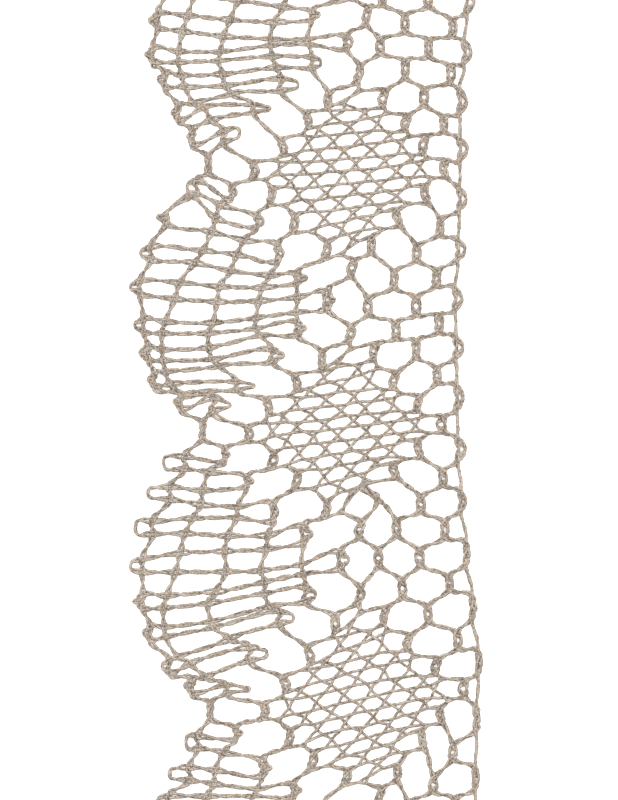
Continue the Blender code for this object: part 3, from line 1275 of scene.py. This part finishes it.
class Graph:
    """A node tree that is being built."""

    def __init__(self, tree: bpy.types.NodeTree) -> None:
        """Start on an existing, empty tree."""
        self.tree = tree

    def node(self, kind: str, settings: dict | None = None, inputs: dict | None = None) -> bpy.types.Node:
        """Add a node.

        Args:
            kind: the node's type.
            settings: its own settings, which are set first.
            inputs: for each input, by its name or number, a value, a number worked out in the tree, a
                socket, or a node, of which the first output is meant.

        Returns:
            The node.
        """
        made = self.tree.nodes.new(kind)
        for name, value in (settings or {}).items():
            setattr(made, name, value)
        for name, value in (inputs or {}).items():
            if isinstance(value, Number):
                value = value.socket
            if isinstance(value, bpy.types.Node):
                value = value.outputs[0]
            if isinstance(value, bpy.types.NodeSocket):
                self.tree.links.new(value, made.inputs[name])
            else:
                made.inputs[name].default_value = value
        return made


class Number:
    """A number that differs over a surface, written in expressions like any other number."""

    def __init__(self, graph: Graph, socket: bpy.types.NodeSocket) -> None:
        """Wrap a socket that gives the number."""
        self.graph = graph
        self.socket = socket

    def _math(self, operation: str, *terms: Number | float) -> Number:
        """One step of arithmetic."""
        made = self.graph.node("ShaderNodeMath", {"operation": operation}, dict(enumerate(terms)))
        return Number(self.graph, made.outputs[0])

    def __add__(self, other: Number | float) -> Number:
        """Sum."""
        return self._math("ADD", self, other)

    __radd__ = __add__

    def __sub__(self, other: Number | float) -> Number:
        """Difference."""
        return self._math("SUBTRACT", self, other)

    def __rsub__(self, other: float) -> Number:
        """Difference, the other way round."""
        return self._math("SUBTRACT", other, self)

    def __mul__(self, other: Number | float) -> Number:
        """Product."""
        return self._math("MULTIPLY", self, other)

    __rmul__ = __mul__

    def __pow__(self, other: float) -> Number:
        """Power."""
        return self._math("POWER", self, other)

    def sine(self) -> Number:
        """Sine of an angle in radians."""
        return self._math("SINE", self)

    def cosine(self) -> Number:
        """Cosine of an angle in radians."""
        return self._math("COSINE", self)

    def rising(self, low: float, high: float) -> Number:
        """0 below the low value, 1 above the high one, and straight between them.

        Args:
            low: a value.
            high: a higher value.

        Returns:
            The number.
        """
        inputs = {"Value": self, "From Min": low, "From Max": high}
        made = self.graph.node("ShaderNodeMapRange", {"clamp": True}, inputs)
        return Number(self.graph, made.outputs["Result"])


@dataclass(frozen=True)
class LinenFinish:
    """Unbleached, matt linen of two plies, mottled with pale fibres and dark flecks, and painted shade on its
    sides and in its ply grooves.
    """

    name: str = "linen"
    pale: tuple[float, float, float] = (0.502, 0.438, 0.375)
    middle: tuple[float, float, float] = (0.228, 0.211, 0.195)
    warm: tuple[float, float, float] = (0.301, 0.216, 0.137)
    dark: tuple[float, float, float] = (0.055, 0.038, 0.026)
    roughness: float = 0.92
    sheen: float = 0.1               # of fine fibres that catch grazing light
    specular: float = 0.25
    ply_pitch: float = 0.9           # mm of thread to one turn of its two plies
    ply_depth: float = 0.00002       # metres
    relief: float = 0.8              # how strongly the plies and fibres catch the light
    fibre_relief: float = 0.35       # the fibres' share in that, of the plies'
    fleck_length: float = 0.00033    # metres
    cloud_length: float = 0.0025
    warmth_length: float = 0.0007
    fibre_turns: float = 1.6         # the more, the narrower the streaks of fibre
    fibre_length: float = 1.1        # mm
    fine: float = 2.0                # how finely the noise of flecks and fibres is broken up
    pale_from: tuple = (0.42, 0.62)  # of flecks and fibres together, where the linen turns pale
    warm_from: tuple = (0.4, 0.6)    # of the warmth's noise
    dark_from: tuple = (0.5, 0.38)   # of the shade, downwards
    darkest: float = 0.8             # share of the dark colour in the darkest flecks, which the painted shade deepens
    fibres_in_shade: float = 0.45
    flecks_in_shade: float = 0.4
    clouds_in_shade: float = 0.15
    # painted shade: how much darker the grooves between the plies are coloured
    painted_groove_shade: float = 0.03
    painted_side_shade: float = 0.07         # painted shade: how much darker the sides of a thread are coloured
    side_power: float = 4.0

    def make(self) -> bpy.types.Material:
        """Build the material.

        Returns:
            The material, which reads the attributes "along" and "around" of a thread.
        """
        material = bpy.data.materials.new(self.name)
        material.use_nodes = True
        material.node_tree.nodes.clear()
        graph = Graph(material.node_tree)
        plies = self._plies(graph)
        fibres = self._fibres(graph)
        height = plies + self.fibre_relief * fibres
        inputs = {"Height": height, "Distance": self.ply_depth, "Strength": self.relief}
        cloth = graph.node(
            "ShaderNodeBsdfPrincipled",
            inputs={
                "Base Color": self._colour(graph, plies, fibres),
                "Roughness": self.roughness,
                "Sheen Weight": self.sheen,
                "Specular IOR Level": self.specular,
                "Normal": graph.node("ShaderNodeBump", inputs=inputs),
            },
        )
        graph.node("ShaderNodeOutputMaterial", inputs={"Surface": cloth})
        return material

    def _colour(self, graph: Graph, plies: Number, fibres: Number) -> bpy.types.NodeSocket:
        """The mottled colour of the thread, with painted shade on its sides and in the grooves between its
        plies.

        Args:
            graph: the material's tree.
            plies: 1 on the backs of the plies.
            fibres: the streaks of fibre.

        Returns:
            The colour.
        """
        flecks = self._mottle(graph, self.fleck_length, self.fine)
        clouds = self._mottle(graph, self.cloud_length, 1.0)
        warmth = self._mottle(graph, self.warmth_length, self.fine).rising(*self.warm_from)
        side, _ = self._around(graph)
        paleness = (0.5 * flecks + 0.5 * fibres).rising(*self.pale_from)
        shade = self.fibres_in_shade * fibres + self.flecks_in_shade * flecks + self.clouds_in_shade * clouds
        # painted shade: the sides of each thread and the grooves between its plies are coloured darker
        shade = shade - self.painted_side_shade * side**self.side_power + self.painted_groove_shade * plies
        darkness = (1.0 - shade).rising(*(1.0 - limit for limit in self.dark_from))
        ground = self._mix(graph, warmth, (*self.middle, 1.0), (*self.warm, 1.0))
        base = self._mix(graph, paleness, ground, (*self.pale, 1.0))
        return self._mix(graph, self.darkest * darkness, base, (*self.dark, 1.0))

    def _mix(self, graph: Graph, share: Number, one: object, other: object) -> bpy.types.NodeSocket:
        """A colour between two colours, by the numbers that a Mix node gives its colour sockets."""
        inputs = {"Factor": share, 6: one, 7: other}
        return graph.node("ShaderNodeMix", {"data_type": "RGBA"}, inputs).outputs[2]

    def _noise(self, graph: Graph, place: object, scale: float, detail: float) -> Number:
        """A cloudy number."""
        made = graph.node("ShaderNodeTexNoise", inputs={"Vector": place, "Scale": scale, "Detail": detail})
        return Number(graph, made.outputs["Fac"])

    def _mottle(self, graph: Graph, length: float, detail: float) -> Number:
        """A cloudy number whose clouds are about this long (m)."""
        place = graph.node("ShaderNodeTexCoord").outputs["Object"]
        return self._noise(graph, place, 1.0 / length, detail)

    def _attribute(self, graph: Graph, name: str, kind: str) -> bpy.types.NodeSocket:
        """One of a thread's attributes."""
        return graph.node("ShaderNodeAttribute", {"attribute_name": name}).outputs[kind]

    def _around(self, graph: Graph) -> tuple[Number, Number]:
        """Cosine and sine of the angle round the thread.

        Args:
            graph: the material's tree.

        Returns:
            The two numbers.
        """
        inputs = {"Vector": self._attribute(graph, "around", "Vector")}
        across, up, _ = graph.node("ShaderNodeSeparateXYZ", inputs=inputs).outputs
        return Number(graph, across), Number(graph, up)

    def _along(self, graph: Graph) -> Number:
        """The distance along the thread (mm)."""
        return Number(graph, self._attribute(graph, "along", "Fac"))

    def _plies(self, graph: Graph) -> Number:
        """1 on the round backs of the two plies, 0 in the grooves between them.

        Args:
            graph: the material's tree.

        Returns:
            That number.
        """
        across, up = self._around(graph)
        turn = self._along(graph) * (2.0 * math.pi / self.ply_pitch)
        twice = (across * across - up * up) * turn.cosine() + 2.0 * across * up * turn.sine()
        return 0.5 + 0.5 * twice

    def _fibres(self, graph: Graph) -> Number:
        """Fine streaks that run along the thread.

        Args:
            graph: the material's tree.

        Returns:
            Their noise.
        """
        across, up = self._around(graph)
        along = self._along(graph) * (1.0 / self.fibre_length)
        inputs = {"X": along, "Y": self.fibre_turns * across, "Z": self.fibre_turns * up}
        return self._noise(graph, graph.node("ShaderNodeCombineXYZ", inputs=inputs), 1.0, self.fine)


class GeometryTree(Graph):
    """A Geometry Nodes tree with named inputs, which turns an object's mesh into another."""

    def __init__(self, name: str, sizes: dict[str, float | int]) -> None:
        """Start a tree.

        Args:
            name: the tree's name.
            sizes: the values of its named inputs.
        """
        super().__init__(bpy.data.node_groups.new(name, "GeometryNodeTree"))
        self.sizes = sizes
        face = self.tree.interface
        face.new_socket("Geometry", in_out="INPUT", socket_type="NodeSocketGeometry")
        self.identifiers = {}
        for label, value in sizes.items():
            kind = "NodeSocketInt" if isinstance(value, int) else "NodeSocketFloat"
            self.identifiers[label] = face.new_socket(label, in_out="INPUT", socket_type=kind).identifier
        face.new_socket("Geometry", in_out="OUTPUT", socket_type="NodeSocketGeometry")
        self.given = self.node("NodeGroupInput")

    def finish(self, geometry: bpy.types.Node, material: bpy.types.Material) -> None:
        """End the tree: make instances real, and give everything its material.

        Args:
            geometry: the node that makes the geometry.
            material: what the geometry is made of.
        """
        real = self.node("GeometryNodeRealizeInstances", inputs={"Geometry": geometry})
        dressed = self.node("GeometryNodeSetMaterial", inputs={"Geometry": real, "Material": material})
        self.node("NodeGroupOutput", inputs={"Geometry": dressed})

    def grow(self, name: str, seeded: bpy.types.Mesh) -> bpy.types.Object:
        """Run the tree on a mesh.

        Args:
            name: the new piece's name.
            seeded: the mesh that the tree starts from.

        Returns:
            A plain mesh object, linked into the scene, without the modifier.
        """
        holder = bpy.data.objects.new(name + "_lines", seeded)
        bpy.context.scene.collection.objects.link(holder)
        modifier = holder.modifiers.new("grow", "NODES")
        modifier.node_group = self.tree
        for label, value in self.sizes.items():
            modifier[self.identifiers[label]] = value
        ready = holder.evaluated_get(bpy.context.evaluated_depsgraph_get())
        mesh = bpy.data.meshes.new_from_object(ready)
        bpy.data.objects.remove(holder)
        mesh.name = name
        piece = bpy.data.objects.new(name, mesh)
        bpy.context.scene.collection.objects.link(piece)
        return piece


@dataclass
class ThreadPiece:
    """A part of the lace made of thread: its name, and the regions of the work that it covers."""

    name: str
    regions: tuple[str, ...]
    linen: Linen
    sides: int = 8

    def lines(self, runs: list[Run]) -> bpy.types.Mesh:
        """The middle lines of this part's threads.

        Args:
            runs: every run of thread in the lace.

        Returns:
            A mesh of edges, with the attributes of the thread.
        """
        mine = [run for run in runs if run.region in self.regions]
        points = np.concatenate([run.points for run in mine]) * MM
        starts = np.cumsum([0] + [len(run.points) for run in mine])
        first = np.concatenate([np.arange(start, stop - 1) for start, stop in zip(starts, starts[1:])])
        edges = np.stack([first, first + 1], axis=1)
        mesh = bpy.data.meshes.new(self.name + "_lines")
        mesh.from_pydata(points.tolist(), edges.tolist(), [])
        for name in ("swell", "along"):
            values = np.concatenate([getattr(run, name) for run in mine]).astype(np.float32)
            mesh.attributes.new(name, "FLOAT", "POINT").data.foreach_set("value", values)
        return mesh

    def make(self, runs: list[Run], material: bpy.types.Material) -> bpy.types.Object:
        """Build and dress this part.

        Args:
            runs: every run of thread in the lace.
            material: the linen.

        Returns:
            The finished piece.
        """
        sizes = {"Thickness": self.linen.diameter * MM, "Sides": self.sides}
        tree = GeometryTree(self.name + "_thread", sizes)
        tree.finish(thread_mesh(tree), material)
        return tree.grow(self.name, self.lines(runs))


def thread_mesh(tree: GeometryTree) -> bpy.types.Node:
    """Round thread along the given lines, with the attributes that its finish reads.

    Args:
        tree: the tree, with the inputs "Thickness" and "Sides".

    Returns:
        The node that makes the thread.
    """
    given = tree.given.outputs
    curves = tree.node("GeometryNodeMeshToCurve", inputs={"Mesh": given["Geometry"]})
    swell = tree.node("GeometryNodeInputNamedAttribute", {"data_type": "FLOAT"}, {"Name": "swell"})
    swollen = tree.node("GeometryNodeSetCurveRadius", inputs={"Curve": curves, "Radius": swell})
    upright = tree.node("GeometryNodeSetCurveNormal", {"mode": "Z_UP"}, {"Curve": swollen})
    inputs = {"Resolution": given["Sides"], "Radius": 1.0}
    ring = tree.node("GeometryNodeCurvePrimitiveCircle", inputs=inputs)
    marked = tree.node(
        "GeometryNodeStoreNamedAttribute",
        {"data_type": "FLOAT_VECTOR", "domain": "POINT"},
        {"Geometry": ring, "Name": "around", "Value": tree.node("GeometryNodeInputPosition")},
    )
    radius = tree.node("ShaderNodeMath", {"operation": "MULTIPLY"}, {0: given["Thickness"], 1: 0.5})
    profile = tree.node("GeometryNodeTransform", inputs={"Geometry": marked, "Scale": radius})
    inputs = {"Curve": upright, "Profile Curve": profile, "Fill Caps": True}
    return tree.node("GeometryNodeCurveToMesh", inputs=inputs)


@dataclass
class Fluff:
    """Loose fibres that stand out of the linen."""

    linen: Linen
    per_square_metre: float = 600000.0
    thickness: float = 0.034         # of a fibre (mm)
    shortest: float = 0.25           # mm
    longest: float = 0.9
    tilt: float = 1.1                # radians away from upright, at most
    thread_sides: int = 4            # of the thread that they grow out of
    fibre_sides: int = 3
    fibre_steps: int = 2             # along a fibre
    root: tuple = (0.0, 0.0, -0.1)   # where a fibre one long starts, bends and ends
    bend: tuple = (0.0, 0.0, 0.6)
    end: tuple = (0.6, 0.0, 0.8)
    seed: int = 5
    name: str = "fluff"

    def make(self, runs: list[Run], material: bpy.types.Material) -> bpy.types.Object:
        """Grow the fibres out of all the lace's thread.

        Args:
            runs: every run of thread in the lace.
            material: the linen.

        Returns:
            The finished piece.
        """
        sizes = {
            "Thickness": self.linen.diameter * MM,
            "Sides": self.thread_sides,
            "Density": self.per_square_metre,
            "Fibre": self.thickness * MM,
            "Shortest": self.shortest * MM,
            "Longest": self.longest * MM,
            "Tilt": self.tilt,
            "Seed": self.seed,
        }
        tree = GeometryTree(self.name, sizes)
        tree.finish(self._rested(tree, self._grown(tree)), material)
        regions = tuple(sorted({run.region for run in runs}))
        return tree.grow(self.name, ThreadPiece(self.name, regions, self.linen).lines(runs))

    def _grown(self, tree: GeometryTree) -> bpy.types.Node:
        """The fibres, scattered over the thread.

        Args:
            tree: the tree.

        Returns:
            The node that makes them.
        """
        given = tree.given.outputs
        roots = tree.node(
            "GeometryNodeDistributePointsOnFaces",
            {"distribute_method": "RANDOM"},
            {"Mesh": thread_mesh(tree), "Density": given["Density"], "Seed": given["Seed"]},
        )
        leaning = tree.node(
            "FunctionNodeRotateRotation",
            {"rotation_space": "LOCAL"},
            {"Rotation": roots.outputs["Rotation"], "Rotate By": self._lean(tree)},
        )
        # a random single number has inputs 2 and 3 for its limits, and output 1
        inputs = {2: given["Shortest"], 3: given["Longest"], "Seed": given["Seed"]}
        length = tree.node("FunctionNodeRandomValue", {"data_type": "FLOAT"}, inputs).outputs[1]
        inputs = {"Points": roots, "Instance": self._fibre(tree), "Rotation": leaning, "Scale": length}
        fibres = tree.node("GeometryNodeInstanceOnPoints", inputs=inputs)
        return tree.node("GeometryNodeRealizeInstances", inputs={"Geometry": fibres})

    def _lean(self, tree: GeometryTree) -> bpy.types.Node:
        """A random turn away from upright, and round.

        Args:
            tree: the tree.

        Returns:
            The node that gives it.
        """
        given = tree.given.outputs
        lowest = tree.node("ShaderNodeMath", {"operation": "MULTIPLY"}, {0: given["Tilt"], 1: -1.0})
        limits = [
            tree.node("ShaderNodeCombineXYZ", inputs={"X": lean, "Y": lean, "Z": turn})
            for lean, turn in ((lowest, 0.0), (given["Tilt"], 2.0 * math.pi))
        ]
        inputs = {0: limits[0], 1: limits[1], "Seed": given["Seed"]}
        return tree.node("FunctionNodeRandomValue", {"data_type": "FLOAT_VECTOR"}, inputs)

    def _fibre(self, tree: GeometryTree) -> bpy.types.Node:
        """One bent fibre, a metre long, so that its scale is its length.

        Args:
            tree: the tree.

        Returns:
            The node that makes it.
        """
        inputs = {"Resolution": self.fibre_steps, "Start": self.root, "Middle": self.bend, "End": self.end}
        line = tree.node("GeometryNodeCurveQuadraticBezier", inputs=inputs)
        inputs = {0: tree.given.outputs["Fibre"], 1: self.longest * MM}
        slim = tree.node("ShaderNodeMath", {"operation": "DIVIDE"}, inputs)
        inputs = {"Resolution": self.fibre_sides, "Radius": slim}
        ring = tree.node("GeometryNodeCurvePrimitiveCircle", inputs=inputs)
        inputs = {"Curve": line, "Profile Curve": ring, "Fill Caps": True}
        return tree.node("GeometryNodeCurveToMesh", inputs=inputs)

    def _rested(self, tree: GeometryTree, fibres: bpy.types.Node) -> bpy.types.Node:
        """The fibres, with what would dip below the floor laid on it.

        Args:
            tree: the tree.
            fibres: the node that makes them.

        Returns:
            The node that lays them.
        """
        inputs = {"Vector": tree.node("GeometryNodeInputPosition")}
        across, along, up = tree.node("ShaderNodeSeparateXYZ", inputs=inputs).outputs
        height = tree.node("ShaderNodeMath", {"operation": "MAXIMUM"}, {0: up, 1: 0.0})
        place = tree.node("ShaderNodeCombineXYZ", inputs={"X": across, "Y": along, "Z": height})
        return tree.node("GeometryNodeSetPosition", inputs={"Geometry": fibres, "Position": place})


@dataclass
class Studio:
    """A pale floor, soft light from all sides, and a camera straight above."""

    frame_height: float = 0.14545    # of the view, on the floor (m)
    frame_middle: tuple[float, float] = (0.00038, 0.00009)
    camera_height: float = 2.0
    camera_reach: float = 20.0
    sensor: float = 24.0             # mm
    floor_size: float = 3.0
    sky: float = 0.55
    lamp_power: float = 30.0
    lamp_size: float = 1.2
    lamp_height: float = 1.6
    lamp_aside: float = 1.2
    lamp_along: float = 0.5          # how far the lamps stand along the lace, of that
    white: tuple = (1.0, 1.0, 1.0, 1.0)
    floor_colour: tuple = (0.92, 0.92, 0.92, 1.0)
    floor_roughness: float = 0.9
    floor_specular: float = 0.1
    floor_glow: float = 0.6          # the floor is lit from below as well, so shadows stay faint

    def build(self) -> None:
        """Set everything up."""
        self._sky()
        self._floor()
        for side in (-1.0, 1.0):
            self._lamp(f"softbox_{'left' if side < 0 else 'right'}", side * self.lamp_aside)
        self._camera()

    def _sky(self) -> None:
        """Even white light from all round."""
        scene = bpy.context.scene
        scene.view_settings.view_transform = "Standard"
        world = bpy.data.worlds.new("studio")
        world.use_nodes = True
        self._paint(world.node_tree.nodes["Background"], {"Color": self.white, "Strength": self.sky})
        scene.world = world

    def _floor(self) -> None:
        """The plain floor that the lace lies on."""
        half = self.floor_size / 2.0
        corners = [(-half, -half, 0.0), (half, -half, 0.0), (half, half, 0.0), (-half, half, 0.0)]
        mesh = bpy.data.meshes.new("floor")
        mesh.from_pydata(corners, [], [(0, 1, 2, 3)])
        material = bpy.data.materials.new("floor")
        material.use_nodes = True
        values = {
            "Base Color": self.floor_colour,
            "Roughness": self.floor_roughness,
            "Specular IOR Level": self.floor_specular,
            "Emission Color": self.white,
            "Emission Strength": self.floor_glow,
        }
        self._paint(material.node_tree.nodes["Principled BSDF"], values)
        mesh.materials.append(material)
        floor = bpy.data.objects.new("floor", mesh)
        bpy.context.scene.collection.objects.link(floor)

    def _paint(self, shader: bpy.types.Node, values: dict) -> None:
        """Set a shader's plain values."""
        for name, value in values.items():
            shader.inputs[name].default_value = value

    def _lamp(self, name: str, aside: float) -> None:
        """One softbox, turned towards the lace.

        Args:
            name: its name.
            aside: how far it stands to the right of the lace.
        """
        light = bpy.data.lights.new(name, "AREA")
        light.size = self.lamp_size
        light.energy = self.lamp_power
        lamp = bpy.data.objects.new(name, light)
        along = self.lamp_along * abs(aside)
        lamp.location = (aside, along, self.lamp_height)
        lamp.rotation_euler = (-math.atan2(along, self.lamp_height), math.atan2(aside, self.lamp_height), 0.0)
        bpy.context.scene.collection.objects.link(lamp)

    def _camera(self) -> None:
        """The camera, far above with a long lens, looking straight down."""
        lens = bpy.data.cameras.new("camera")
        lens.sensor_fit = "VERTICAL"
        lens.sensor_height = self.sensor
        lens.lens = self.sensor * self.camera_height / self.frame_height
        lens.clip_end = self.camera_reach
        camera = bpy.data.objects.new("camera", lens)
        camera.location = (*self.frame_middle, self.camera_height)
        bpy.context.scene.collection.objects.link(camera)
        bpy.context.scene.camera = camera


@dataclass(frozen=True)
class Strip:
    """The whole lace as a flat cloth (m)."""

    width: float = 0.0642
    length: float = 0.156
    ground_area: float = 0.00305     # of the ground alone, without the diamonds, the fans and the footside


def parts(runs: list[Run]) -> dict[str, tuple[str, ...]]:
    """The lace's pieces of thread.

    Args:
        runs: every run of thread in the lace.

    Returns:
        The regions of the work that each piece covers, by the piece's name.
    """
    diamonds = sorted({run.region for run in runs if run.region.startswith("diamond")})
    covered = {"ground": ("ground",), "footside": ("footside",), "diamonds": tuple(diamonds)}
    for number, scallop in enumerate(SCALLOPS, start=1):
        covered[f"fan_{number}"] = (f"fan_{scallop.crown_row}",)
    return covered


def main() -> None:
    """Build the lace and its studio, a piece at a time."""
    logging.basicConfig(level=logging.INFO, format="%(message)s")
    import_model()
    Studio().build()
    order = OrderOfWork(Pricking())
    stitches = order.plan()
    Tension().settle(stitches)
    threads = Bobbins(order).work(stitches)
    HalfStitchNet().settle(threads)
    linen = Linen(shift=-order.pricking.middle)
    runs = linen.spin(threads)
    material = LinenFinish().make()
    pieces = [ThreadPiece(name, covers, linen).make(runs, material) for name, covers in parts(runs).items()]
    pieces.append(Fluff(linen).make(runs, material))
    for piece in pieces:
        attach(piece, "root")
        triangles = sum(len(face.vertices) - 2 for face in piece.data.polygons)
        LOG.info("%s: %d triangles", piece.name, triangles)
    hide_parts("lace")


if __name__ == "__main__":
    main()
